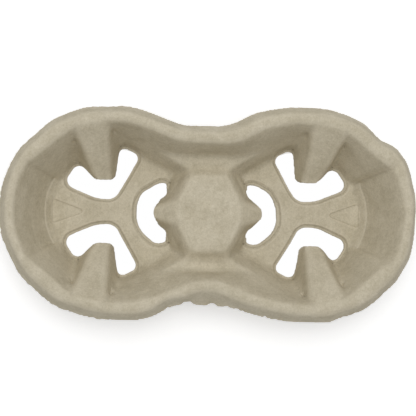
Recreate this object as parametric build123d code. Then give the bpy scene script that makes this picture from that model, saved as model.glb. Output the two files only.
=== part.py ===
from build123d import *
import os
from math import atan2, cos, pi, radians, sin, sqrt, tan

# A two-cup carrier moulded in one piece from paper pulp. The pulp is a thin
# sheet drawn over one tool, so all of it can be seen from above or from below.
# X runs along the tray, Y across it, Z up. The origin is on the resting plane,
# midway between the two cups. All sizes are in millimetres. The tray is the same
# end for end, so one end is modelled and the other is its mirror image.

# Sheet and levels
wall = 2.0
tray_height = 42.0
skirt_edge_height = 27.0
deck_height = 21.0
plateau_height = 27.0
floor_height = 4.6
collar_height = 2.0

# Rim, measured along the middle of its crest. Each lobe follows a wider shoulder radius
# from its widest point towards the waist.
cup_pitch = 106.3
crest_lobe_radius = 50.0
crest_back_half_width = 38.4
crest_front_half_width = 37.2
crest_back_shoulder_radius = 73.0
crest_front_shoulder_radius = 93.0
crest_blend_radius = 32.0
crest_half_width = 3.4
crest_rounding = 2.6

# Skirt that hangs outside the rim: how far its lower edge stands out from the crest,
# and how much further at the front of the waist
skirt_reach = 7.0
skirt_front_flare = 3.8

# Recess between the cups, measured at the deck
deck_lobe_radius = 40.8
deck_waist_half_width = 30.8
deck_blend_radius = 54.0
recess_half_length = 45.0

# Cup pockets: radius, and how much less it is at the outer end below the deck
pocket_floor_radius = 35.0
pocket_deck_radius = 41.5
pocket_end_step = 3.6
facet_direction = 50.0
facet_half_angle = 18.0
throat_direction = 61.0

# Deeper bay at the outer end of each pocket
bay_half_angle = 31.5
bay_top_radius = 47.8
bay_ledge_radius = 35.4
bay_ledge_width = 0.8
bay_ledge_height = 8.6
bay_floor_radius = 31.5

# Post between the cups: its octagon's first corner and half width at three levels
plateau_corner = (9.5, 19.7)
plateau_half_width = 16.5
shoulder_corner = (10.4, 25.2)
shoulder_half_width = 19.4
foot_corner = (14.4, 29.0)
foot_half_width = 24.5
post_bevel_angle = 63.0

# Tongues that grip the cups, along the middle of the top face
rim_tongue_tip = (2.6, 14.0)
rim_tongue_root = (9.0, 43.3)
rim_tongue_tip_height = 11.0
rim_tongue_root_height = 39.0
rim_tongue_tip_width = 7.2
rim_tongue_root_width = 17.6
post_tongue_tip_distance = 19.4
post_tongue_tip_height = 12.7
post_tongue_tip_width = 5.2
post_tongue_root_width = 14.0
tongue_draft = 12.0
tongue_bevel = 1.3
tongue_root_sink = 0.2

# Openings in the floor, each with a low collar round it
collar_width = 1.7
collar_draft = 8.0
collar_elbow_radius = 7.0

# Corners of the curved opening, one half, from the cup's axis: outwards, sideways, rounding
crescent_nose = (-20.6, 0.0, 7.0)
crescent_corners = (
    (-31.6, 10.2, 2.0),
    (-31.6, 16.0, 2.0),
    (-26.0, 18.5, 7.0),
    (-14.2, 9.0, 16.0),
)

# Corners of the bent opening from the cup's axis: outwards, sideways, rounding
bent_corners = (
    (-16.2, 30.6, 3.5),
    (-2.6, 6.6, 7.0),
    (8.0, 7.4, 20.0),
    (25.6, 15.0, 4.5),
    (17.6, 27.0, 4.0),
    (7.6, 16.9, 5.0),
    (-2.6, 16.9, 4.5),
    (-5.2, 36.4, 3.2),
)

# Sunk panel in the outer arm of the floor
panel_apex = 11.6
panel_half_angle = 20.0
panel_depth = 1.4
panel_rounding = 1.5

# Sizes that follow from the ones above
half_pitch = cup_pitch / 2
wall_draft = 15.0
wall_set_back = 1 / cos(radians(wall_draft))
overlap = 1.0
rounding_steps = 2
smallest_rounding = 0.4
inside_post = 4.0


def half_outline(lobe_radius, back, front, blend_radius, grow=0.0, start=0.0):
    """Outline of one round lobe and its half of the waist; grow moves it outwards all round.

    back and front each hold the half width at the waist and the radius of the shoulder
    between the lobe's widest point and the waist.
    """
    lobe = lobe_radius + grow
    blend = blend_radius - grow

    def side(half_width, shoulder_radius, sign):
        width = half_width + grow
        shoulder = shoulder_radius + grow
        drop = shoulder - lobe
        blend_x = half_pitch - sqrt((shoulder + blend) ** 2 - (width + blend + drop) ** 2)
        turn = atan2(width + blend + drop, blend_x - half_pitch)
        lean = (turn - 3 * pi / 2) / 2

        def on_shoulder(angle):
            return (half_pitch + shoulder * cos(angle), sign * (shoulder * sin(angle) - drop))

        def on_lobe(angle):
            return (half_pitch + lobe * cos(angle), sign * lobe * sin(angle))

        flat = (blend_x, sign * width)
        middle = (blend_x + blend * cos(lean), sign * (width + blend + blend * sin(lean)))
        return [
            Line((start, sign * width), flat),
            ThreePointArc(flat, middle, on_shoulder(turn)),
            ThreePointArc(on_shoulder(turn), on_shoulder((turn + pi / 2) / 2), on_lobe(pi / 2)),
            ThreePointArc(on_lobe(pi / 2), on_lobe(pi / 4), on_lobe(0)),
        ]

    waist = Line((start, back[0] + grow), (start, -front[0] - grow))
    return make_face(side(*back, 1) + side(*front, -1) + [waist])


def crest_outline(grow=0.0, start=0.0, front_flare=0.0):
    """Middle line of the rim's crest, moved outwards by grow and further at the front of the waist."""
    back = (crest_back_half_width, crest_back_shoulder_radius)
    front = (crest_front_half_width + front_flare, crest_front_shoulder_radius)
    return half_outline(crest_lobe_radius, back, front, crest_blend_radius, grow, start)


def skirt_outline(grow=0.0, start=0.0):
    """Lower edge of the skirt, moved outwards by grow."""
    return crest_outline(skirt_reach + grow, start, skirt_front_flare)


def flat_sided(rings):
    """Solid through rings of corners, with a flat face between each two edges."""
    def face(corners):
        return make_face(Polyline(*corners, close=True))

    faces = [face(rings[0]), face(rings[-1])]
    for low, high in zip(rings, rings[1:]):
        for a, b, c, d in zip(low, low[1:] + low[:1], high[1:] + high[:1], high):
            faces.append(face([a, b, c, d]))
    return Solid(Shell(faces))


def crest_edge(inset):
    """Height and rounding radius of the rim's edges, and the steps that make the rounding.

    The underside of the rim has plain edges, as its rounding is too small to matter.
    """
    top = tray_height - inset
    if inset:
        return top, 0.0, [(top, 0.0)]
    steps = []
    for number in range(rounding_steps + 1):
        turn = radians(90 * number / rounding_steps)
        steps.append((top - crest_rounding + crest_rounding * sin(turn), crest_rounding * (1 - cos(turn))))
    return top, crest_rounding, steps


def rim_block(inset):
    """Solid block under the rim, out to the skirt, with the outer edge rounded."""
    grow = -inset * wall_set_back
    sections = [Pos(0, 0, height) * skirt_outline(grow) for height in (-inset, skirt_edge_height)]
    for height, step in crest_edge(inset)[2]:
        sections.append(Pos(0, 0, height) * crest_outline(crest_half_width + grow - step))
    return loft(sections, ruled=True)


def through_rim(base, outline, inset):
    """Cutting tool from its base section up through the rim, flared to round the rim's inner edge."""
    top, rounding, steps = crest_edge(inset)
    sections = list(base)
    for height, step in steps + [(top + overlap, rounding)]:
        sections.append(Pos(0, 0, height) * outline(step))
    return loft(sections, ruled=True)


def deck_recess(inset):
    """Space between the pockets, from the deck up through the rim."""
    grow = inset * wall_set_back
    side = (deck_waist_half_width, deck_lobe_radius)
    deck = half_outline(deck_lobe_radius, side, side, deck_blend_radius, grow, -overlap)
    base = [Pos(0, 0, deck_height - inset) * deck]
    recess = through_rim(base, lambda step: crest_outline(grow + step - crest_half_width, -overlap), inset)
    return recess & Box(2 * recess_half_length, 4 * crest_lobe_radius, 4 * tray_height)


def pocket_outline(radius, end_radius):
    """Round pocket with a flat facet on each side of its outer end."""
    near = radians(facet_direction - facet_half_angle)
    far = radians(facet_direction + facet_half_angle)

    def at(r, angle):
        return (r * cos(angle), r * sin(angle))

    edges = [
        ThreePointArc(at(end_radius, -near), at(end_radius, 0), at(end_radius, near)),
        Line(at(end_radius, near), at(radius, far)),
        ThreePointArc(at(radius, far), at(radius, pi), at(radius, -far)),
        Line(at(radius, -far), at(end_radius, -near)),
    ]
    return make_face(edges)


def pocket_bowl(inset):
    """Main hollow of a pocket, from the floor up through the rim."""
    grow = inset * wall_set_back
    rim_radius = crest_lobe_radius - crest_half_width + grow
    base = []
    for height, radius in ((floor_height, pocket_floor_radius), (deck_height, pocket_deck_radius)):
        outline = pocket_outline(radius + grow, radius + grow - pocket_end_step)
        base.append(Pos(0, 0, height - inset) * outline)
    return through_rim(base, lambda step: pocket_outline(rim_radius + step, rim_radius + step), inset)


def pocket_throat(inset):
    """Wedge of the pocket that narrows towards the post, up to just above the deck."""
    grow = inset * wall_set_back
    lean = tan(radians(throat_direction))

    def ring(radius, height):
        r = radius + grow
        touch_x = -r * cos(radians(throat_direction))
        touch_y = r * sin(radians(throat_direction))
        end_x = -half_pitch - overlap
        end_y = touch_y - (touch_x - end_x) / lean
        z = height - inset
        return [(touch_x, touch_y, z), (end_x, end_y, z), (end_x, -end_y, z), (touch_x, -touch_y, z)]

    floor = ring(pocket_floor_radius, floor_height)
    deck = ring(pocket_deck_radius, deck_height)
    above = ring(pocket_deck_radius, deck_height + 2 * wall)
    return flat_sided([floor, deck, above])


def pocket_bay(inset):
    """Deeper bay in the outer end wall, with a ledge and a riser above the floor."""
    grow = inset * wall_set_back
    top, rounding, steps = crest_edge(inset)
    profile = [
        (0, floor_height - inset),
        (bay_floor_radius + grow, floor_height - inset),
        (bay_ledge_radius - bay_ledge_width + grow, bay_ledge_height - inset),
        (bay_ledge_radius + grow, bay_ledge_height - inset),
    ]
    profile += [(bay_top_radius + grow + step, height) for height, step in steps]
    profile += [(bay_top_radius + grow + rounding, top + overlap), (0, top + overlap)]
    face = Plane.XZ * make_face(Polyline(*profile, close=True))
    spread = 2 * bay_half_angle
    return Rot(0, 0, -bay_half_angle) * revolve(face, Axis.Z, revolution_arc=spread)


def rounded_outline(corners, grow=0.0, elbow_radius=0.0):
    """Closed outline with rounded corners, listed anticlockwise.

    grow moves each edge outwards, and elbow_radius is the least rounding of an inward corner
    before that.
    """
    arcs = []
    for before, here, after in zip(corners[-1:] + corners[:-1], corners, corners[1:] + corners[:1]):
        arrive = Vector(here[0] - before[0], here[1] - before[1]).normalized()
        leave = Vector(after[0] - here[0], after[1] - here[1]).normalized()
        outward = [Vector(arrive.Y, -arrive.X), Vector(leave.Y, -leave.X)]
        bisector = (outward[0] + outward[1]) * (1 / (1 + arrive.dot(leave)))
        radius = here[2] + grow
        if arrive.X * leave.Y < arrive.Y * leave.X:
            radius = -max(max(here[2], elbow_radius) - grow, smallest_rounding)
        centre = Vector(here[0], here[1]) + bisector * (grow - radius)
        points = [centre + way * radius for way in (outward[0], bisector.normalized(), outward[1])]
        arcs.append(ThreePointArc(*points))
    lines = [Line(arc @ 1, following @ 0) for arc, following in zip(arcs, arcs[1:] + arcs[:1])]
    return make_face(arcs + lines)


def bent_opening(grow=0.0, elbow_radius=0.0):
    """Bent opening round the tip of a rim tongue."""
    return rounded_outline(bent_corners, grow, elbow_radius)


def crescent_opening(grow=0.0, elbow_radius=0.0):
    """Curved opening round the tip of the post's tongue."""
    lower = tuple((u, -v, radius) for u, v, radius in crescent_corners)
    return rounded_outline(crescent_corners[::-1] + (crescent_nose,) + lower, grow, elbow_radius)


def collar_cut(opening, inset):
    """Sunk collar round one opening, cut into the floor and the foot of the walls."""
    base = collar_width + inset * wall_set_back
    depth = deck_height - collar_height
    step = depth * tan(radians(collar_draft))
    low = Pos(0, 0, collar_height - inset) * opening(base, collar_elbow_radius)
    high = Pos(0, 0, deck_height - inset) * opening(base + step, collar_elbow_radius)
    return loft([low, high], ruled=True)


def panel_cut(inset):
    """Sunk three-sided panel in the outer arm."""
    half = (bay_floor_radius - panel_apex) * tan(radians(panel_half_angle))
    corners = (
        (panel_apex, 0, panel_rounding),
        (bay_floor_radius, -half, panel_rounding),
        (bay_floor_radius, half, panel_rounding),
    )
    face = rounded_outline(corners, inset * wall_set_back)
    return extrude(Pos(0, 0, floor_height - panel_depth - inset) * face, amount=panel_depth + overlap)


def post(inset):
    """Half of the eight-sided post between the cups, with a shoulder that meets the deck."""
    shrink = inset * wall_set_back
    lean = tan(radians(post_bevel_angle))

    def ring(height, corner, half_width):
        x1 = corner[0] - shrink * tan(radians(post_bevel_angle / 2))
        y1 = corner[1] - shrink
        x2 = half_width - shrink
        y2 = y1 - (x2 - x1) * lean
        z = height - inset
        return [(0, y1, z), (x1, y1, z), (x2, y2, z), (x2, -y2, z), (x1, -y1, z), (0, -y1, z)]

    foot = ring(0, foot_corner, foot_half_width)
    shoulder = ring(deck_height, shoulder_corner, shoulder_half_width)
    plateau = ring(plateau_height, plateau_corner, plateau_half_width)
    return flat_sided([foot, shoulder, plateau])


def tongue(tip, root, heights, widths, level, inset):
    """Ridge that slopes up from its tip past its root, then runs on level.

    tip and root are places in plan, heights and widths are pairs at those two places, and
    level is the height where the slope ends.
    """
    shrink = inset * wall_set_back
    run = sqrt((root[0] - tip[0]) ** 2 + (root[1] - tip[1]) ** 2)
    slope = (heights[1] - heights[0]) / run
    low = heights[0] - inset * sqrt(1 + slope ** 2)
    along = Vector(root[0] - tip[0], root[1] - tip[1]).normalized()
    across = Vector(-along.Y, along.X)
    bevel = max(tongue_bevel - inset / 2, 0)

    def ring(distance, top):
        half_top = (widths[0] + (widths[1] - widths[0]) * distance / run) / 2 - shrink

        def half_width(height):
            return half_top + (top - height) * tan(radians(tongue_draft))

        side = top - bevel
        right = [(half_width(-inset), -inset), (half_width(side), side), (half_top - bevel, top)]
        outline = right + [(-off, height) for off, height in reversed(right)]
        place = Vector(*tip) + along * distance
        return [(place.X + across.X * off, place.Y + across.Y * off, height) for off, height in outline]

    turn = (level - inset - low) / slope
    return flat_sided([ring(0, low), ring(turn, level - inset), ring(turn + inside_post, level - inset)])


def rim_tongue(inset):
    """Tongue that slopes from the rim into a pocket, almost level with the crest at its root."""
    heights = (rim_tongue_tip_height, rim_tongue_root_height)
    widths = (rim_tongue_tip_width, rim_tongue_root_width)
    level = tray_height - tongue_root_sink
    return tongue(rim_tongue_tip, rim_tongue_root, heights, widths, level, inset)


def post_tongue(inset):
    """Tongue that slopes from the plateau towards the cup."""
    tip = (-post_tongue_tip_distance, 0)
    root = (plateau_half_width - half_pitch, 0)
    heights = (post_tongue_tip_height, plateau_height)
    widths = (post_tongue_tip_width, post_tongue_root_width)
    return tongue(tip, root, heights, widths, plateau_height, inset)


def both_sides(shape):
    """A shape and its mirror image across the tray's long axis."""
    return [shape, mirror(shape, about=Plane.XZ)]


def at_cup(shapes):
    """Pocket shapes set at the cup's axis."""
    return [Pos(half_pitch, 0, 0) * shape for shape in shapes]


def form(inset):
    """One end of everything under the tray's top face, or under its underside when inset by the wall."""
    hollows = [pocket_bowl(inset), pocket_throat(inset), pocket_bay(inset), panel_cut(inset)]
    hollows += both_sides(collar_cut(bent_opening, inset)) + [collar_cut(crescent_opening, inset)]
    ridges = both_sides(rim_tongue(inset)) + [post_tongue(inset)]
    block = rim_block(inset) - deck_recess(inset)
    for hollow in at_cup(hollows):
        block -= hollow
    block += post(inset)
    for ridge in at_cup(ridges):
        block += ridge
    return block


def skirt_trim():
    """Space under the skirt's lower edge, outside the middle of the crest."""
    ring = skirt_outline(wall, -overlap) - crest_outline(0, -overlap)
    return extrude(Pos(0, 0, -overlap) * ring, amount=skirt_edge_height + overlap)


def openings():
    """The three openings through one pocket's floor."""
    faces = both_sides(bent_opening()) + [crescent_opening()]
    return [extrude(Pos(0, 0, -overlap) * face, amount=plateau_height + overlap) for face in at_cup(faces)]


def cup_carrier():
    """The whole moulded tray."""
    end = form(0.0) - form(wall) - skirt_trim()
    for opening in openings():
        end -= opening
    return end + mirror(end, about=Plane.YZ)


os.makedirs("parts", exist_ok=True)
export_step(cup_carrier(), "parts/cup_carrier.step")
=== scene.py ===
"""Dresses a moulded pulp cup carrier and sets it on a white table under soft light."""
import logging
import math
from collections.abc import Callable
from dataclasses import dataclass, field
from enum import Enum
from typing import Any

import bmesh
import bpy
import numpy as np
from mathutils import Matrix, Vector
from mathutils.kdtree import KDTree


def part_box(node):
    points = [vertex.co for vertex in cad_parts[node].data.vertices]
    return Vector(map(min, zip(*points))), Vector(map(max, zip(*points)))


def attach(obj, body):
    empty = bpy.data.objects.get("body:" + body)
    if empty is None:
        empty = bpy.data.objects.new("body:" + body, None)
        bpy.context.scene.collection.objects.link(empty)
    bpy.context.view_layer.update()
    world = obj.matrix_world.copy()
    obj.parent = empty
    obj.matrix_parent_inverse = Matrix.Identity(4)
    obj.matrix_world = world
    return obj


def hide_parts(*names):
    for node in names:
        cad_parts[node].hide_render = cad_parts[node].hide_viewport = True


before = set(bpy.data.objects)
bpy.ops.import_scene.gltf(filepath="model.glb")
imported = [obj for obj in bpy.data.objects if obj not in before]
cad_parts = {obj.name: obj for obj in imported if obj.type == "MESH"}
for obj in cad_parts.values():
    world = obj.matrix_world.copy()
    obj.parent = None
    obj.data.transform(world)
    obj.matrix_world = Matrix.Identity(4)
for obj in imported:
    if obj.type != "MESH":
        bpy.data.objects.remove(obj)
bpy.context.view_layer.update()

log = logging.getLogger("cup_carrier")

MM = 0.001
WHITE = (1.0, 1.0, 1.0, 1.0)

Tree = bpy.types.NodeTree
Socket = bpy.types.NodeSocket


def linear(hex_colour: str) -> tuple[float, float, float, float]:
    """Turns an sRGB hex colour into the linear colour that Blender's sockets hold.

    Args:
        hex_colour: Six hex digits after a hash sign.

    Returns:
        Linear red, green and blue, and an alpha of one.
    """
    parts = [int(hex_colour[i:i + 2], 16) / 255 for i in (1, 3, 5)]
    red, green, blue = (c / 12.92 if c <= 0.04045 else ((c + 0.055) / 1.055) ** 2.4 for c in parts)
    return red, green, blue, 1.0


def per_metre(size_mm: float) -> float:
    """Gives the pattern scale at which one feature is about size_mm across."""
    return 1 / (size_mm * MM)


def add_node(tree: Tree, kind: str, values: dict | None = None, **settings: Any) -> bpy.types.Node:
    """Adds one node, sets its properties, then fills or links its input sockets.

    Args:
        tree: The node tree that gets the node.
        kind: Blender's name for the node's type.
        values: Input socket, by name or number, to a plain value or an output socket.
        settings: The node's own properties.

    Returns:
        The new node.
    """
    node = tree.nodes.new(kind)
    for name, value in settings.items():
        setattr(node, name, value)
    for name, value in (values or {}).items():
        if isinstance(value, Socket):
            tree.links.new(value, node.inputs[name])
        else:
            node.inputs[name].default_value = value
    return node


class Texture(Enum):
    """What a band of surface noise stands for, and its seed."""

    LUMPS = 3.0
    GRAIN = 11.0
    DECKLE = 23.0
    MOTTLE = 31.0
    FIBRE = 37.0
    SPECK = 41.0


class Fold(Enum):
    """Which way the sheet turns at an edge, with the name of the mark that carries its painted highlight or
    painted shade on the mesh.
    """

    RIDGE = "painted_highlight_share"
    VALLEY = "painted_shade_share"


@dataclass(frozen=True)
class MouldedPulp:
    """Grey-beige pulp from mixed waste paper, sucked onto a mesh mould and dried.

    It is dead matt, with faint cloudy patches, short fibres and the odd dark speck of old print. Its ridges
    carry a painted highlight and its valleys a painted shade.
    """

    body: str = "#C8C0AA"
    pale: str = "#DBD2BD"
    dark: str = "#B2A88F"
    speck: str = "#79705D"
    # painted highlight on ridges and painted shade in valleys
    painted_highlight: str = "#DED5C0"
    painted_shade: str = "#80765F"
    body_share: float = 0.15
    painted_highlight_share: float = 0.55
    painted_shade_share: float = 0.95
    patch_mm: float = 9.0
    patch_spread: float = 0.12
    fibre_mm: float = 1.6
    fibre_spread: float = 0.15
    fibre_share: float = 0.45
    fibre_bump: float = 0.5
    fibre_depth: float = 0.25 * MM
    grit_mm: float = 0.7
    grit_spread: float = 0.14
    grit_share: float = 0.4
    grit_bump: float = 0.35
    grit_depth: float = 0.12 * MM
    speck_spacing_mm: float = 4.5
    speckless_share: float = 0.72
    speck_reach: float = 0.085
    speck_share: float = 0.75
    noise_roughness: float = 0.6
    roughness: float = 0.96
    sheen: float = 0.2

    def material(self) -> bpy.types.Material:
        """Builds the pulp's shader.

        Returns:
            The material, named for what it is.
        """
        made = bpy.data.materials.new("moulded_pulp")
        made.use_nodes = True
        tree = made.node_tree
        shader = tree.nodes["Principled BSDF"]
        place = add_node(tree, "ShaderNodeTexCoord").outputs["Object"]

        patches = self.band(tree, place, self.patch_mm, Texture.MOTTLE, detail=3.0)
        fibres = self.band(tree, place, self.fibre_mm, Texture.FIBRE, detail=4.0)
        grit = self.band(tree, place, self.grit_mm, Texture.GRAIN, detail=3.0)

        # patches show from a step away, fibres and grit from close by
        colour = self.shades(tree, patches, self.patch_spread)
        layers = (
            (self.fibre_share, self.shades(tree, fibres, self.fibre_spread)),
            (self.grit_share, self.shades(tree, grit, self.grit_spread)),
            (self.body_share, linear(self.body)),
            (self.speckle(tree, place), linear(self.speck)),
            # the last two layers are painted highlight on ridges and painted shade in valleys, from the
            # marks on the mesh
            (self.painted_light_share(tree, Fold.RIDGE, self.painted_highlight_share), linear(self.painted_highlight)),
            (self.painted_light_share(tree, Fold.VALLEY, self.painted_shade_share), linear(self.painted_shade)),
        )
        for share, layer in layers:
            values = {0: share, 6: colour, 7: layer}
            colour = add_node(tree, "ShaderNodeMix", values, data_type="RGBA").outputs[2]
        tree.links.new(colour, shader.inputs["Base Color"])

        # both bumps break up the light on flat faces, which the mesh is too coarse to do
        fine = {"Strength": self.grit_bump, "Distance": self.grit_depth, "Height": grit}
        coarse = {"Strength": self.fibre_bump, "Distance": self.fibre_depth, "Height": fibres}
        coarse["Normal"] = add_node(tree, "ShaderNodeBump", fine).outputs[0]
        tree.links.new(add_node(tree, "ShaderNodeBump", coarse).outputs[0], shader.inputs["Normal"])
        shader.inputs["Roughness"].default_value = self.roughness
        shader.inputs["Specular IOR Level"].default_value = self.sheen
        return made

    def band(self, tree: Tree, place: Socket, size_mm: float, texture: Texture, detail: float) -> Socket:
        """Adds a band of noise whose features are about size_mm across.

        Args:
            tree: The shader's tree.
            place: Object coordinates.
            size_mm: Size of one feature.
            texture: Which band, for its seed.
            detail: Octaves of finer noise.

        Returns:
            The noise's strength, about 0 to 1.
        """
        values = {
            "Vector": place,
            "W": texture.value,
            "Scale": per_metre(size_mm),
            "Detail": detail,
            "Roughness": self.noise_roughness,
        }
        return add_node(tree, "ShaderNodeTexNoise", values, noise_dimensions="4D").outputs[0]

    def shades(self, tree: Tree, strength: Socket, spread: float) -> Socket:
        """Goes from dark to pale pulp as a noise's strength rises through its middle.

        Args:
            tree: The shader's tree.
            strength: The noise's strength.
            spread: How far from the middle the colours are pure.

        Returns:
            The colour.
        """
        ends = {0: strength, 1: 0.5 - spread, 2: 0.5 + spread}
        share = add_node(tree, "ShaderNodeMapRange", ends, clamp=True).outputs[0]
        colours = {0: share, 6: linear(self.dark), 7: linear(self.pale)}
        return add_node(tree, "ShaderNodeMix", colours, data_type="RGBA").outputs[2]

    def painted_light_share(self, tree: Tree, fold: Fold, most: float) -> Socket:
        """Gives the share of painted highlight along the ridges or of painted shade in the valleys.

        Args:
            tree: The shader's tree.
            fold: Ridges or valleys.
            most: How much of the tint shows right on the fold.

        Returns:
            The share of the tint, from the mark that the mesh carries.
        """
        mark = add_node(tree, "ShaderNodeAttribute", attribute_name=fold.value).outputs["Fac"]
        return add_node(tree, "ShaderNodeMath", {0: mark, 1: most}, operation="MULTIPLY").outputs[0]

    def speckle(self, tree: Tree, place: Socket) -> Socket:
        """Adds sparse dark specks, each a fraction of a millimetre across.

        Args:
            tree: The shader's tree.
            place: Object coordinates.

        Returns:
            The specks' strength inside a speck, zero elsewhere.
        """
        spacing = {"Vector": place, "W": Texture.SPECK.value, "Scale": per_metre(self.speck_spacing_mm)}
        cells = add_node(tree, "ShaderNodeTexVoronoi", spacing, voronoi_dimensions="4D")
        chance = add_node(tree, "ShaderNodeSeparateColor", {0: cells.outputs["Color"]}).outputs[0]
        growth = {0: chance, 1: self.speckless_share, 2: 1.0, 3: 0.0, 4: self.speck_reach}
        size = add_node(tree, "ShaderNodeMapRange", growth, clamp=True).outputs[0]
        limits = {0: cells.outputs["Distance"], 1: size}
        inside = add_node(tree, "ShaderNodeMath", limits, operation="LESS_THAN").outputs[0]
        shares = {0: inside, 1: self.speck_share}
        return add_node(tree, "ShaderNodeMath", shares, operation="MULTIPLY").outputs[0]


@dataclass(frozen=True)
class WhiteTable:
    """White table top that the tray stands on.

    It shows white where no shadow falls, and under the pockets a painted pool of light takes away the
    tray's shade, so the openings show pure white.
    """

    colour: str = "#F2F2F2"
    lift: float = 0.38
    opening_radius: float = 34.5 * MM
    pocket_centre: float = 50.8 * MM

    def material(self) -> bpy.types.Material:
        """Builds the table's shader: lit like paper, and lifted to white for the camera.

        Returns:
            The material.
        """
        made = bpy.data.materials.new("white_table")
        made.use_nodes = True
        tree = made.node_tree
        shader = tree.nodes["Principled BSDF"]
        shader.inputs["Base Color"].default_value = linear(self.colour)
        shader.inputs["Roughness"].default_value = 1.0
        shader.inputs["Specular IOR Level"].default_value = 0.0
        seen = add_node(tree, "ShaderNodeLightPath").outputs["Is Camera Ray"]
        lift = add_node(tree, "ShaderNodeMath", {0: seen, 1: self.lift}, operation="MULTIPLY").outputs[0]
        glow = add_node(tree, "ShaderNodeEmission", {"Color": WHITE, "Strength": lift}).outputs[0]
        lifted = add_node(tree, "ShaderNodeAddShader", {0: shader.outputs[0], 1: glow}).outputs[0]
        # painted light: a pure white glow under the pockets, where the tray's shade would fall on the table
        painted_glow = add_node(tree, "ShaderNodeEmission", {"Color": WHITE, "Strength": 1.0}).outputs[0]
        both = {0: self.painted_light_under_pockets(tree), 1: seen}
        share = add_node(tree, "ShaderNodeMath", both, operation="MULTIPLY").outputs[0]
        mixed = add_node(tree, "ShaderNodeMixShader", {0: share, 1: lifted, 2: painted_glow}).outputs[0]
        tree.links.new(mixed, tree.nodes["Material Output"].inputs["Surface"])
        return made

    def painted_light_under_pockets(self, tree: Tree) -> Socket:
        """Marks the table under the two pockets, where painted light makes it pure white through the
        openings in place of the tray's shade.

        Args:
            tree: The table's shader tree.

        Returns:
            One under a pocket, zero elsewhere.
        """
        place = add_node(tree, "ShaderNodeTexCoord").outputs["Object"]
        parts = add_node(tree, "ShaderNodeSeparateXYZ", {0: place})
        side = add_node(tree, "ShaderNodeMath", {0: parts.outputs["X"]}, operation="ABSOLUTE").outputs[0]
        gap = {0: side, 1: self.pocket_centre}
        along = add_node(tree, "ShaderNodeMath", gap, operation="SUBTRACT").outputs[0]
        spot = add_node(tree, "ShaderNodeCombineXYZ", {"X": along, "Y": parts.outputs["Y"]}).outputs[0]
        reach = add_node(tree, "ShaderNodeVectorMath", {0: spot}, operation="LENGTH").outputs["Value"]
        limits = {0: reach, 1: self.opening_radius}
        return add_node(tree, "ShaderNodeMath", limits, operation="LESS_THAN").outputs[0]


@dataclass
class FormEdges:
    """The form's edges: where the sheet was cut or ends, its ridges and its valleys."""

    sharp_turn: float = math.radians(40)
    soft_turn: float = math.radians(24)
    upright_slope: float = 0.02
    upward_slope: float = -0.05
    foot_level: float = 4.3 * MM
    low_level: float = 9.0 * MM
    cut_level: float = 18.0 * MM
    spacing: float = 0.4 * MM
    half_pitch: float = 53.15 * MM
    skirt_levels: tuple[float, float] = (26.0 * MM, 28.0 * MM)
    skirt_inside: float = 40.0 * MM
    brim_end: float = 39.5 * MM
    brim_side: float = 19.0 * MM
    brim_level: float = 2.2 * MM

    def sampled(self, edges: list[bmesh.types.BMEdge]) -> np.ndarray:
        """Places points along some edges.

        Args:
            edges: Edges of the closed form.

        Returns:
            One row of x, y and z for each point.
        """
        rows = []
        for edge in edges:
            first, last = edge.verts[0].co, edge.verts[1].co
            count = max(1, math.ceil((last - first).length / self.spacing))
            rows += [first.lerp(last, step / count) for step in range(count + 1)]
        return np.array(rows)

    def sharp(self, form: bmesh.types.BMesh) -> np.ndarray:
        """Places points along every edge that stays crisp.

        Args:
            form: The closed form.

        Returns:
            One row for each point.
        """
        turned = [edge for edge in form.edges if edge.calc_face_angle(0.0) > self.sharp_turn]
        crisp = [edge for edge in turned if not self.rounded(edge) or self.cut(edge)]
        return self.sampled(crisp + [edge for edge in turned if self.skirted(edge)])

    def cut(self, edge: bmesh.types.BMEdge) -> bool:
        """Tells whether an edge borders an upright wall where an opening was cut through the sheet."""
        upright = any(abs(face.normal.z) < self.upright_slope for face in edge.link_faces)
        return upright and max(vert.co.z for vert in edge.verts) < self.cut_level

    def skirted(self, edge: bmesh.types.BMEdge) -> bool:
        """Tells whether an edge lies along the skirt's lower edge."""
        middle = np.array([(edge.verts[0].co + edge.verts[1].co) / 2])
        return len(self.on_skirt(middle)) > 0

    def rounded(self, edge: bmesh.types.BMEdge) -> bool:
        """Tells whether an edge is pressed round: all those above the floor, and the feet of the walls."""
        levels = [vert.co.z for vert in edge.verts]
        foot = edge.calc_face_angle_signed(0.0) < -self.sharp_turn and min(levels) > self.foot_level
        return max(levels) >= self.low_level or foot

    def folds(self, form: bmesh.types.BMesh, fold: Fold) -> tuple[np.ndarray, np.ndarray]:
        """Places points along the edges that turn one way, seen from above.

        Args:
            form: The closed form.
            fold: Ridges or valleys.

        Returns:
            Points on the crisp edges and points on the rounded ones, one row each.
        """
        crisp, soft = [], []
        for edge in form.edges:
            turn = edge.calc_face_angle_signed(0.0)
            upwards = all(face.normal.z > self.upward_slope for face in edge.link_faces)
            if upwards and (turn > self.soft_turn if fold is Fold.RIDGE else turn < -self.soft_turn):
                (soft if self.rounded(edge) else crisp).append(edge)
        return self.sampled(crisp), self.sampled(soft)

    def on_skirt(self, points: np.ndarray) -> np.ndarray:
        """Picks the points on the skirt's lower edge."""
        low, high = self.skirt_levels
        level = (points[:, 2] > low) & (points[:, 2] < high)
        return points[level & (self.from_middle(points) > self.skirt_inside)]

    def on_brims(self, points: np.ndarray) -> np.ndarray:
        """Picks the points on the curved openings' cut edges."""
        along, across, level = np.abs(points).T
        return points[(along < self.brim_end) & (across < self.brim_side) & (level < self.brim_level)]

    def from_middle(self, points: np.ndarray) -> np.ndarray:
        """Measures each point's distance in plan from the line between the two cups."""
        along = np.clip(points[:, 0], -self.half_pitch, self.half_pitch)
        return np.hypot(points[:, 0] - along, points[:, 1])


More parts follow.
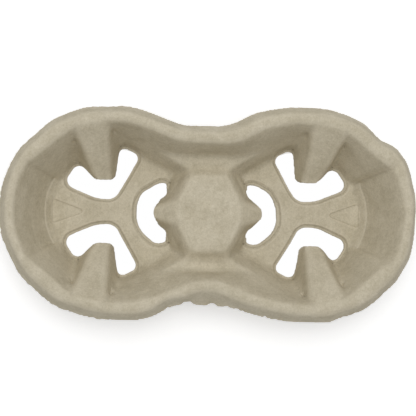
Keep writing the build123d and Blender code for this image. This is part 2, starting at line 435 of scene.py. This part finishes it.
@dataclass(frozen=True)
class Press:
    """One place where the sheet was pushed out of true while wet, or has been bent in use.

    All sizes are in millimetres. The shift fades to nothing at the reach, and with a level given, the reach
    counts up and down as well.
    """

    place: tuple[float, float]
    reach: float
    shift: tuple[float, float, float]
    level: float | None = None

    def moves(self, points: np.ndarray) -> np.ndarray:
        """Works out how far each point moves.

        Args:
            points: One row of x, y and z for each point, in metres.

        Returns:
            One row of shifts for each point, in metres.
        """
        gap = points[:, :2] - np.array(self.place) * MM
        square = (gap ** 2).sum(axis=1)
        if self.level is not None:
            square = square + (points[:, 2] - self.level * MM) ** 2
        near = np.clip(1 - square / (self.reach * MM) ** 2, 0, 1) ** 2
        return near[:, None] * np.array(self.shift) * MM


@dataclass(frozen=True)
class Crease:
    """A line along which the sheet has been bent in use, in millimetres from start to end."""

    start: tuple[float, float, float] = (80.6, 16.7, 6.0)
    end: tuple[float, float, float] = (94.7, 25.7, 41.0)
    reach: float = 4.2
    shift: tuple[float, float, float] = (0.9, 0.6, 0.0)
    press_count: int = 11
    # the crease's painted shade: how many points carry it, how far it reaches and how strong it is
    shade_count: int = 44
    shade_reach: float = 1.3 * MM
    shade_share: float = 0.3

    def along(self, count: int) -> np.ndarray:
        """Places points evenly along the line, in millimetres."""
        return np.linspace(self.start, self.end, count)

    def presses(self) -> list[Press]:
        """Makes the row of pushes that sink the line into the sheet."""
        return [Press((x, y), self.reach, self.shift, z) for x, y, z in self.along(self.press_count)]


@dataclass
class PulpSheet:
    """The whole tray as one moulded sheet: softened, a little lumpy, ragged along the skirt's edge."""

    node: str = "cup_carrier"
    joined_within: float = 0.001 * MM
    voxel: float = 0.56 * MM
    most_triangles: int = 194_000
    plain_weight: float = 4.0
    detail_least: float = 0.05
    detail_reach: float = 0.8 * MM
    crisp_reach: float = 1.9 * MM
    skirt_reach: float = 4.5 * MM
    # reach and strength of the painted highlight and painted shade marks
    lip_highlight_reach: float = 0.8 * MM
    crisp_fold_reach: float = 0.8 * MM
    soft_fold_reach: float = 2.0 * MM
    soft_highlight_share: float = 0.4
    soft_shade_share: float = 0.13
    brim_reach: float = 1.4 * MM
    brim_gain: float = 0.6 * MM
    smoothing: int = 52
    floor_level: float = 4.6 * MM
    collar_level: float = 2.0 * MM
    collar_foot: float = 0.5 * MM
    collar_gain: float = 1.4 * MM
    underside_slope: float = -0.25
    lump_size: float = 14.0 * MM
    lump_height: float = 0.7 * MM
    grain_size: float = 2.6 * MM
    grain_height: float = 0.2 * MM
    deckle_size: float = 2.6 * MM
    deckle_height: float = 9.0 * MM
    lip: float = 0.9 * MM
    edges: FormEdges = field(default_factory=FormEdges)
    crease: Crease = field(default_factory=Crease)
    pulp: MouldedPulp = field(default_factory=MouldedPulp)
    # floor round the right cup, and the back horns of the curved openings
    floor_presses: tuple[Press, ...] = (
        Press((52.0, -18.0), 34.0, (1.5, 0.0, 0.0), 2.0),
        Press((52.0, 18.0), 30.0, (-1.2, 0.5, 0.0), 2.0),
        Press((-31.0, 17.0), 9.0, (0.0, -1.6, 0.0), 2.0),
        Press((29.0, 17.0), 9.0, (0.0, -1.4, 0.0), 2.0),
    )
    # skirt and crest, with a bulge beside a flattened stretch at the back, and a dent beside the bulge
    right_lobe_presses: tuple[Press, ...] = (
        Press((102.5, 28.5), 17.0, (2.3, 1.3, 0.0)),
        Press((91.0, 43.0), 12.0, (-0.9, -1.0, 0.0)),
        Press((105.0, -23.0), 18.0, (1.4, -0.7, 0.0)),
        Press((85.0, -47.0), 18.0, (0.6, -0.9, 0.0)),
        Press((98.0, -36.0), 10.0, (0.8, -0.6, 0.0)),
        Press((109.0, 12.0), 14.0, (1.0, 0.0, 0.0)),
        Press((97.0, 37.0), 8.0, (0.6, 0.4, 0.0)),
        Press((110.0, 2.0), 18.0, (0.7, 0.0, 0.0)),
        Press((63.0, -56.0), 12.0, (0.0, -0.7, 0.0)),
        Press((95.5, 26.0), 6.0, (0.0, 0.0, -1.6), 42.0),
    )
    left_lobe_presses: tuple[Press, ...] = (
        Press((-53.0, 57.0), 22.0, (0.0, -1.0, 0.0)),
        Press((-92.0, 42.0), 14.0, (0.9, -0.9, 0.0)),
        Press((-75.0, 52.0), 16.0, (0.3, -1.0, 0.0)),
        Press((-56.0, 58.0), 12.0, (0.0, -0.7, 0.0)),
        Press((-68.0, -56.0), 20.0, (0.3, 1.1, 0.0)),
        Press((-90.0, -42.0), 16.0, (0.6, 0.9, 0.0)),
        Press((-104.0, -26.0), 16.0, (0.8, 0.4, 0.0)),
    )
    waist_presses: tuple[Press, ...] = (
        Press((33.0, 55.0), 24.0, (0.0, 1.1, 0.0)),
        Press((20.0, 48.0), 18.0, (0.0, 1.5, 0.0)),
        Press((0.0, 45.0), 22.0, (0.0, 0.9, 0.0)),
        Press((-26.0, 51.0), 22.0, (0.0, -1.9, 0.0)),
        Press((36.0, -55.0), 24.0, (0.0, 0.2, 0.0)),
        Press((8.0, -48.0), 20.0, (0.0, -0.9, 0.0)),
        Press((-20.0, -49.0), 10.0, (0.0, 2.0, 0.0)),
        Press((-37.0, -54.0), 14.0, (0.0, -1.1, 0.0)),
    )
    # notches in the skirt's front edge
    notch_presses: tuple[Press, ...] = (
        Press((-10.6, -48.5), 4.2, (0.0, 2.4, 2.6), 27.0),
        Press((2.4, -49.0), 3.4, (0.0, 2.2, 2.4), 27.0),
    )
    # pulp gathered in the corners at the post's foot, then hollows and a swelling on its top
    post_presses: tuple[Press, ...] = (
        Press((-19.5, -17.0), 9.0, (-0.4, -0.4, 2.2), 8.0),
        Press((-19.5, 17.0), 9.0, (-0.4, 0.4, 1.6), 8.0),
        Press((19.5, -17.0), 9.0, (0.4, -0.4, 2.2), 8.0),
        Press((19.5, 17.0), 9.0, (0.4, 0.4, 1.6), 8.0),
        Press((-2.5, 6.8), 5.5, (0.0, 0.0, -1.4), 27.0),
        Press((-9.3, 0.5), 6.0, (0.0, 0.0, -1.4), 27.0),
        Press((-5.7, -8.4), 5.0, (0.0, 0.0, -1.2), 27.0),
        Press((4.4, -8.4), 4.5, (0.0, 0.0, -1.2), 27.0),
        Press((9.6, 1.0), 4.5, (0.0, 0.0, -1.0), 27.0),
        Press((1.0, 1.0), 5.0, (0.0, 0.0, 0.9), 27.0),
    )

    def build(self) -> bpy.types.Object:
        """Makes the sheet from the CAD solid's form.

        Returns:
            The finished piece, at the origin, in its place in the frame.
        """
        form = self.merged_form()
        mesh = bpy.data.meshes.new("pulp_form")
        form.to_mesh(mesh)
        mesh = self.remeshed(mesh)
        self.mark_edges(mesh, form)
        form.free()
        mesh = self.surfaced(mesh)
        mesh = self.thinned(mesh)
        self.close_in(mesh)
        self.thicken(mesh)
        self.press(mesh)
        self.keep_in_box(mesh)
        piece = bpy.data.objects.new("pulp_tray", mesh)
        bpy.context.scene.collection.objects.link(piece)
        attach(piece, "root")
        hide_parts(self.node)
        log.info("pulp_tray: %d faces", len(mesh.polygons))
        return piece

    def merged_form(self) -> bmesh.types.BMesh:
        """Copies the solid's loose triangles into one closed form."""
        form = bmesh.new()
        form.from_mesh(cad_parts[self.node].data)
        bmesh.ops.remove_doubles(form, verts=form.verts, dist=self.joined_within)
        return form

    def evaluated(
        self, mesh: bpy.types.Mesh, add_modifier: Callable[[bpy.types.Object], None]
    ) -> bpy.types.Mesh:
        """Runs one modifier on a mesh and keeps the plain result.

        Args:
            mesh: The mesh to work on, which is removed.
            add_modifier: Adds the modifier to an object and sets it.

        Returns:
            The new mesh, with no modifier left.
        """
        worker = bpy.data.objects.new("worker", mesh)
        bpy.context.scene.collection.objects.link(worker)
        add_modifier(worker)
        graph = bpy.context.evaluated_depsgraph_get()
        made = bpy.data.meshes.new_from_object(worker.evaluated_get(graph), depsgraph=graph)
        bpy.data.objects.remove(worker)
        bpy.data.meshes.remove(mesh)
        return made

    def remeshed(self, mesh: bpy.types.Mesh) -> bpy.types.Mesh:
        """Gives the sheet an even mesh that can be softened."""

        def add(worker: bpy.types.Object) -> None:
            remesh = worker.modifiers.new("even_mesh", "REMESH")
            remesh.mode = "VOXEL"
            remesh.voxel_size = self.voxel
            remesh.use_smooth_shade = True

        return self.evaluated(mesh, add)

    def mark_edges(self, mesh: bpy.types.Mesh, form: bmesh.types.BMesh) -> None:
        """Marks where the mesh stays crisp, frays, gets painted highlight or painted shade, keeps its
        detail or closes in.

        Args:
            mesh: The even mesh.
            form: The closed form that it was made from.
        """
        sharp = self.edges.sharp(form)
        skirt = self.edges.on_skirt(sharp)
        self.mark(mesh, "crisp_share", sharp, self.crisp_reach)
        self.mark(mesh, "skirt_share", skirt, self.skirt_reach)
        # painted highlight along ridges and painted shade along valleys, weaker where the folds are rounded
        soft_shares = {Fold.RIDGE: self.soft_highlight_share, Fold.VALLEY: self.soft_shade_share}
        for fold, soft_share in soft_shares.items():
            crisp, soft = self.edges.folds(form, fold)
            self.mark(mesh, "detail_share", crisp, self.detail_reach)
            self.mark(mesh, fold.value, crisp, self.crisp_fold_reach)
            self.mark(mesh, fold.value, soft, self.soft_fold_reach, soft_share)
        # painted highlight along the skirt's lip
        self.mark(mesh, Fold.RIDGE.value, skirt, self.lip_highlight_reach)
        self.mark(mesh, "brim_share", self.edges.on_brims(sharp), self.brim_reach)
        # painted shade along the crease line
        bend = self.crease.along(self.crease.shade_count) * MM
        self.mark(mesh, Fold.VALLEY.value, bend, self.crease.shade_reach, self.crease.shade_share)

    def mark(
        self, mesh: bpy.types.Mesh, name: str, points: np.ndarray, reach: float, most: float = 1.0
    ) -> None:
        """Marks the mesh near some points with an attribute that falls away to 0.

        Args:
            mesh: The even mesh.
            name: The attribute's name.
            points: The points.
            reach: Distance at which the mark ends.
            most: The mark's value right at a point.
        """
        tree = KDTree(len(points))
        for number, point in enumerate(points):
            tree.insert(point, number)
        tree.balance()
        away = np.array([tree.find(place)[2] for place in self.places(mesh)])
        near = np.clip(1 - away / reach, 0, 1)
        if name not in mesh.attributes:
            mesh.attributes.new(name, "FLOAT", "POINT")
        marks = np.maximum(self.marks(mesh, name), most * near * near * (3 - 2 * near))
        mesh.attributes[name].data.foreach_set("value", marks.astype(np.float32))

    def marks(self, mesh: bpy.types.Mesh, name: str) -> np.ndarray:
        """Reads a mark's value at every point."""
        values = np.empty(len(mesh.vertices), dtype=np.float32)
        mesh.attributes[name].data.foreach_get("value", values)
        return values

    def surfaced(self, mesh: bpy.types.Mesh) -> bpy.types.Mesh:
        """Softens the sheet and gives it its lumps, grain and ragged edge.

        Args:
            mesh: The even mesh, with its edges marked.

        Returns:
            The mesh with its surface.
        """
        tree, sockets = PulpSurfaceTree().build()
        settings = {
            "Smoothing": self.smoothing,
            "Lump Size": self.lump_size,
            "Lump Height": self.lump_height,
            "Grain Size": self.grain_size,
            "Grain Height": self.grain_height,
            "Deckle Size": self.deckle_size,
            "Deckle Height": self.deckle_height,
            "Lip": self.lip,
            "Half Pitch": self.edges.half_pitch,
            "Material": self.pulp.material(),
        }

        def add(worker: bpy.types.Object) -> None:
            surface = worker.modifiers.new("pulp_surface", "NODES")
            surface.node_group = tree
            for name, value in settings.items():
                surface[sockets[name]] = value

        return self.evaluated(mesh, add)

    def thinned(self, mesh: bpy.types.Mesh) -> bpy.types.Mesh:
        """Merges the smallest faces where the sheet is nearly flat, down to a set number of triangles."""
        count = sum(len(polygon.vertices) - 2 for polygon in mesh.polygons)
        plain = np.nonzero(self.marks(mesh, "detail_share") < self.detail_least)[0].tolist()

        def add(worker: bpy.types.Object) -> None:
            group = worker.vertex_groups.new(name="plain")
            group.add(plain, 1.0, "REPLACE")
            fewer = worker.modifiers.new("fewer_faces", "DECIMATE")
            fewer.ratio = min(1.0, self.most_triangles / count)
            fewer.vertex_group = group.name
            fewer.vertex_group_factor = self.plain_weight

        return self.evaluated(mesh, add)

    def close_in(self, mesh: bpy.types.Mesh) -> None:
        """Moves the curved openings' brims inwards, as pulp creeps over them."""
        # a brim moves by the whole gain over the nearer half of the mark's reach
        share = np.clip(2 * self.marks(mesh, "brim_share"), 0, 1)
        sideways = self.normals(mesh) * (1.0, 1.0, 0.0)
        self.move(mesh, self.places(mesh) + sideways * share[:, None] * self.brim_gain)

    def thicken(self, mesh: bpy.types.Mesh) -> None:
        """Thickens the collars' upper side, where pulp gathers round the openings."""
        points = self.places(mesh)
        upper = np.interp(self.normals(mesh)[:, 2], [self.underside_slope, 0.0], [0.0, 1.0])
        levels = [self.collar_foot, self.collar_level, self.floor_level]
        points[:, 2] += upper * np.interp(points[:, 2], levels, [0.0, self.collar_gain, 0.0])
        self.move(mesh, points)

    def press(self, mesh: bpy.types.Mesh) -> None:
        """Pushes the sheet out of true where the real one is."""
        presses = [
            *self.floor_presses, *self.right_lobe_presses, *self.left_lobe_presses, *self.waist_presses,
            *self.notch_presses, *self.post_presses, *self.crease.presses(),
        ]
        points = self.places(mesh)
        self.move(mesh, points + sum(press.moves(points) for press in presses))

    def keep_in_box(self, mesh: bpy.types.Mesh) -> None:
        """Keeps every point within the solid's own box."""
        low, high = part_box(self.node)
        self.move(mesh, np.clip(self.places(mesh), np.array(low), np.array(high)))

    def places(self, mesh: bpy.types.Mesh) -> np.ndarray:
        """Reads every point's place, one row each."""
        places = np.empty(len(mesh.vertices) * 3, dtype=np.float32)
        mesh.vertices.foreach_get("co", places)
        return places.reshape(-1, 3)

    def normals(self, mesh: bpy.types.Mesh) -> np.ndarray:
        """Reads every point's normal, one row each."""
        normals = np.empty(len(mesh.vertices) * 3, dtype=np.float32)
        mesh.vertex_normals.foreach_get("vector", normals)
        return normals.reshape(-1, 3)

    def move(self, mesh: bpy.types.Mesh, places: np.ndarray) -> None:
        """Puts every point of the mesh at its new place."""
        mesh.vertices.foreach_set("co", places.ravel().astype(np.float32))
        mesh.update()


@dataclass(frozen=True)
class PulpSurfaceTree:
    """Geometry Nodes tree that turns a clean moulded form into dried pulp."""

    crisp_power: float = 3.0
    front_from: float = 30.0 * MM
    back_share: float = 0.35
    inward_share: float = -0.45
    lip_power: float = 4.0
    noise_detail: float = 2.0
    noise_middle: float = 0.5

    def build(self) -> tuple[Tree, dict[str, str]]:
        """Builds the tree.

        Returns:
            The tree, and each named input's socket identifier.
        """
        tree = bpy.data.node_groups.new("pulp_surface", "GeometryNodeTree")
        tree.interface.new_socket("Geometry", in_out="INPUT", socket_type="NodeSocketGeometry")
        kinds = {
            "Smoothing": "NodeSocketInt",
            "Lump Size": "NodeSocketFloat",
            "Lump Height": "NodeSocketFloat",
            "Grain Size": "NodeSocketFloat",
            "Grain Height": "NodeSocketFloat",
            "Deckle Size": "NodeSocketFloat",
            "Deckle Height": "NodeSocketFloat",
            "Lip": "NodeSocketFloat",
            "Half Pitch": "NodeSocketFloat",
            "Material": "NodeSocketMaterial",
        }
        sockets = {
            name: tree.interface.new_socket(name, in_out="INPUT", socket_type=kind).identifier
            for name, kind in kinds.items()
        }
        tree.interface.new_socket("Geometry", in_out="OUTPUT", socket_type="NodeSocketGeometry")
        given = tree.nodes.new("NodeGroupInput").outputs
        place = add_node(tree, "GeometryNodeInputPosition").outputs[0]

        shape = self.softened(tree, given, place)
        shape = self.frayed(tree, given, place, shape)
        shape = self.bumped(tree, given, place, shape, "Lump", Texture.LUMPS)
        shape = self.bumped(tree, given, place, shape, "Grain", Texture.GRAIN)
        whole = add_node(tree, "GeometryNodeRealizeInstances", {0: shape}).outputs[0]
        smooth = add_node(tree, "GeometryNodeSetShadeSmooth", {"Geometry": whole}).outputs[0]
        surface = {"Geometry": smooth, "Material": given["Material"]}
        dressed = add_node(tree, "GeometryNodeSetMaterial", surface).outputs[0]
        add_node(tree, "NodeGroupOutput", {0: dressed})
        return tree, sockets

    def swing(self, tree: Tree, place: Socket, size: Socket, texture: Texture) -> Socket:
        """Adds noise around zero, with features of a given size.

        Args:
            tree: The tree.
            place: Each point's place.
            size: Size of one feature, in metres.
            texture: Which band, for its seed.

        Returns:
            Noise from about -0.5 to 0.5.
        """
        scale = add_node(tree, "ShaderNodeMath", {0: 1.0, 1: size}, operation="DIVIDE").outputs[0]
        values = {"Vector": place, "W": texture.value, "Scale": scale, "Detail": self.noise_detail}
        level = add_node(tree, "ShaderNodeTexNoise", values, noise_dimensions="4D").outputs[0]
        middle = {0: level, 1: self.noise_middle}
        return add_node(tree, "ShaderNodeMath", middle, operation="SUBTRACT").outputs[0]

    def softened(self, tree: Tree, given: Any, place: Socket) -> Socket:
        """Rounds every crease by averaging each point with its neighbours, except near the crisp edges.

        Args:
            tree: The tree.
            given: The group's inputs.
            place: Each point's place.

        Returns:
            The softened geometry.
        """
        mark = {"Name": "crisp_share"}
        crisp = add_node(tree, "GeometryNodeInputNamedAttribute", mark, data_type="FLOAT").outputs[0]
        loose = add_node(tree, "ShaderNodeMath", {0: 1.0, 1: crisp}, operation="SUBTRACT").outputs[0]
        power = {0: loose, 1: self.crisp_power}
        weight = add_node(tree, "ShaderNodeMath", power, operation="POWER").outputs[0]
        values = {"Value": place, "Iterations": given["Smoothing"], "Weight": weight}
        blurred = add_node(tree, "GeometryNodeBlurAttribute", values, data_type="FLOAT_VECTOR").outputs[0]
        settled = {"Geometry": given["Geometry"], "Position": blurred}
        return add_node(tree, "GeometryNodeSetPosition", settled).outputs[0]

    def outward(self, tree: Tree, given: Any, parts: Any) -> Socket:
        """Points level and away from the line between the two cups.

        Args:
            tree: The tree.
            given: The group's inputs.
            parts: The parts of each point's place.

        Returns:
            A direction of length one.
        """
        half_pitch = given["Half Pitch"]
        start = add_node(tree, "ShaderNodeMath", {0: half_pitch, 1: -1.0}, operation="MULTIPLY").outputs[0]
        limits = {0: parts["X"], 1: start, 2: half_pitch}
        gap = {0: parts["X"], 1: add_node(tree, "ShaderNodeClamp", limits).outputs[0]}
        away = add_node(tree, "ShaderNodeMath", gap, operation="SUBTRACT").outputs[0]
        level = add_node(tree, "ShaderNodeCombineXYZ", {"X": away, "Y": parts["Y"]}).outputs[0]
        return add_node(tree, "ShaderNodeVectorMath", {0: level}, operation="NORMALIZE").outputs[0]

    def frayed(self, tree: Tree, given: Any, place: Socket, shape: Socket) -> Socket:
        """Frays the skirt's lower edge and turns it out into a thin lip, most of all at the front.

        Args:
            tree: The tree.
            given: The group's inputs.
            place: Each point's place.
            shape: The geometry so far.

        Returns:
            The moved geometry.
        """
        mark = {"Name": "skirt_share"}
        share = add_node(tree, "GeometryNodeInputNamedAttribute", mark, data_type="FLOAT").outputs[0]
        parts = add_node(tree, "ShaderNodeSeparateXYZ", {0: place}).outputs
        sides = {0: parts["Y"], 1: self.front_from, 2: -self.front_from, 3: self.back_share, 4: 1.0}
        front = add_node(tree, "ShaderNodeMapRange", sides, clamp=True).outputs[0]

        swing = self.swing(tree, place, given["Deckle Size"], Texture.DECKLE)
        tears = add_node(tree, "ShaderNodeMath", {0: swing, 1: 0.0}, operation="MAXIMUM").outputs[0]
        torn = self.product(tree, tears, given["Deckle Height"], share, front)
        inward = self.product(tree, torn, self.inward_share)
        thin = add_node(tree, "ShaderNodeMath", {0: share, 1: self.lip_power}, operation="POWER").outputs[0]
        lip = self.product(tree, thin, given["Lip"], front)

        length = add_node(tree, "ShaderNodeMath", {0: inward, 1: lip}, operation="ADD").outputs[0]
        values = {0: self.outward(tree, given, parts), "Scale": length}
        sideways = add_node(tree, "ShaderNodeVectorMath", values, operation="SCALE").outputs[0]
        lift = add_node(tree, "ShaderNodeCombineXYZ", {"Z": torn}).outputs[0]
        shift = add_node(tree, "ShaderNodeVectorMath", {0: sideways, 1: lift}, operation="ADD").outputs[0]
        return add_node(tree, "GeometryNodeSetPosition", {"Geometry": shape, "Offset": shift}).outputs[0]

    def product(self, tree: Tree, first: Socket, *others: Socket | float) -> Socket:
        """Multiplies one socket by several others."""
        result = first
        for other in others:
            values = {0: result, 1: other}
            result = add_node(tree, "ShaderNodeMath", values, operation="MULTIPLY").outputs[0]
        return result

    def bumped(
        self, tree: Tree, given: Any, place: Socket, shape: Socket, name: str, texture: Texture
    ) -> Socket:
        """Moves the surface in and out along its normal by one band of noise.

        Args:
            tree: The tree.
            given: The group's inputs.
            place: Each point's place.
            shape: The geometry so far.
            name: First word of the band's two inputs.
            texture: Which band, for its seed.

        Returns:
            The moved geometry.
        """
        swing = self.swing(tree, place, given[name + " Size"], texture)
        height = self.product(tree, swing, given[name + " Height"])
        normal = add_node(tree, "GeometryNodeInputNormal").outputs[0]
        values = {0: normal, "Scale": height}
        shift = add_node(tree, "ShaderNodeVectorMath", values, operation="SCALE").outputs[0]
        return add_node(tree, "GeometryNodeSetPosition", {"Geometry": shape, "Offset": shift}).outputs[0]


@dataclass
class Studio:
    """White table, pale surroundings, one large soft lamp overhead and the camera above."""

    table: WhiteTable = field(default_factory=WhiteTable)
    table_size: float = 3.0
    surround: float = 0.45
    key_size: float = 1.1
    key_place: tuple[float, float, float] = (-0.05, 0.34, 1.4)
    key_power: float = 9.3
    camera_place: tuple[float, float, float] = (-0.036, -0.004, 0.640)
    camera_aim: tuple[float, float, float] = (-0.0006, 0.0027, 0.028)
    camera_roll: float = 1.0
    focal_mm: float = 100.3
    sensor_mm: float = 36.0
    nearest_seen: float = 0.05

    def build(self) -> None:
        """Sets the table, the light and the camera."""
        self.lay_table()
        self.light()
        self.place_camera()

    def lay_table(self) -> None:
        """Lays the table top at the height that the tray rests on."""
        half = self.table_size / 2
        corners = [(-half, -half, 0), (half, -half, 0), (half, half, 0), (-half, half, 0)]
        mesh = bpy.data.meshes.new("table_top")
        mesh.from_pydata(corners, [], [(0, 1, 2, 3)])
        mesh.materials.append(self.table.material())
        top = bpy.data.objects.new("table_top", mesh)
        bpy.context.scene.collection.objects.link(top)

    def light(self) -> None:
        """Lights the tray from pale surroundings, white to the camera, and from one lamp above it."""
        world = bpy.data.worlds.new("pale_room")
        world.use_nodes = True
        tree = world.node_tree
        room = tree.nodes["Background"]
        room.inputs["Color"].default_value = WHITE
        seen = add_node(tree, "ShaderNodeLightPath").outputs["Is Camera Ray"]
        levels = {0: seen, 3: self.surround, 4: 1.0}
        level = add_node(tree, "ShaderNodeMapRange", levels, clamp=True).outputs[0]
        tree.links.new(level, room.inputs["Strength"])
        bpy.context.scene.world = world

        lamp = bpy.data.lights.new("soft_key", "AREA")
        lamp.shape = "DISK"
        lamp.size = self.key_size
        lamp.energy = self.key_power
        key = bpy.data.objects.new("soft_key", lamp)
        key.location = self.key_place
        key.rotation_euler = (-Vector(self.key_place)).to_track_quat("-Z", "Y").to_euler()
        bpy.context.scene.collection.objects.link(key)

    def place_camera(self) -> None:
        """Puts the camera above the tray, turned a little about its own axis."""
        data = bpy.data.cameras.new("camera")
        data.lens = self.focal_mm
        data.sensor_width = self.sensor_mm
        data.clip_start = self.nearest_seen
        camera = bpy.data.objects.new("camera", data)
        place = Vector(self.camera_place)
        back = (place - Vector(self.camera_aim)).normalized()
        turn = math.radians(-self.camera_roll)
        right = Vector((math.sin(turn), math.cos(turn), 0)).cross(back).normalized()
        up = back.cross(right)
        camera.matrix_world = Matrix.Translation(place) @ Matrix((right, up, back)).transposed().to_4x4()
        bpy.context.scene.collection.objects.link(camera)
        bpy.context.scene.camera = camera


def main() -> None:
    """Builds the tray and the studio, in order."""
    logging.basicConfig(level=logging.INFO, format="%(message)s")
    bpy.context.scene.view_settings.view_transform = "Standard"
    PulpSheet().build()
    Studio().build()


if __name__ == "__main__":
    main()
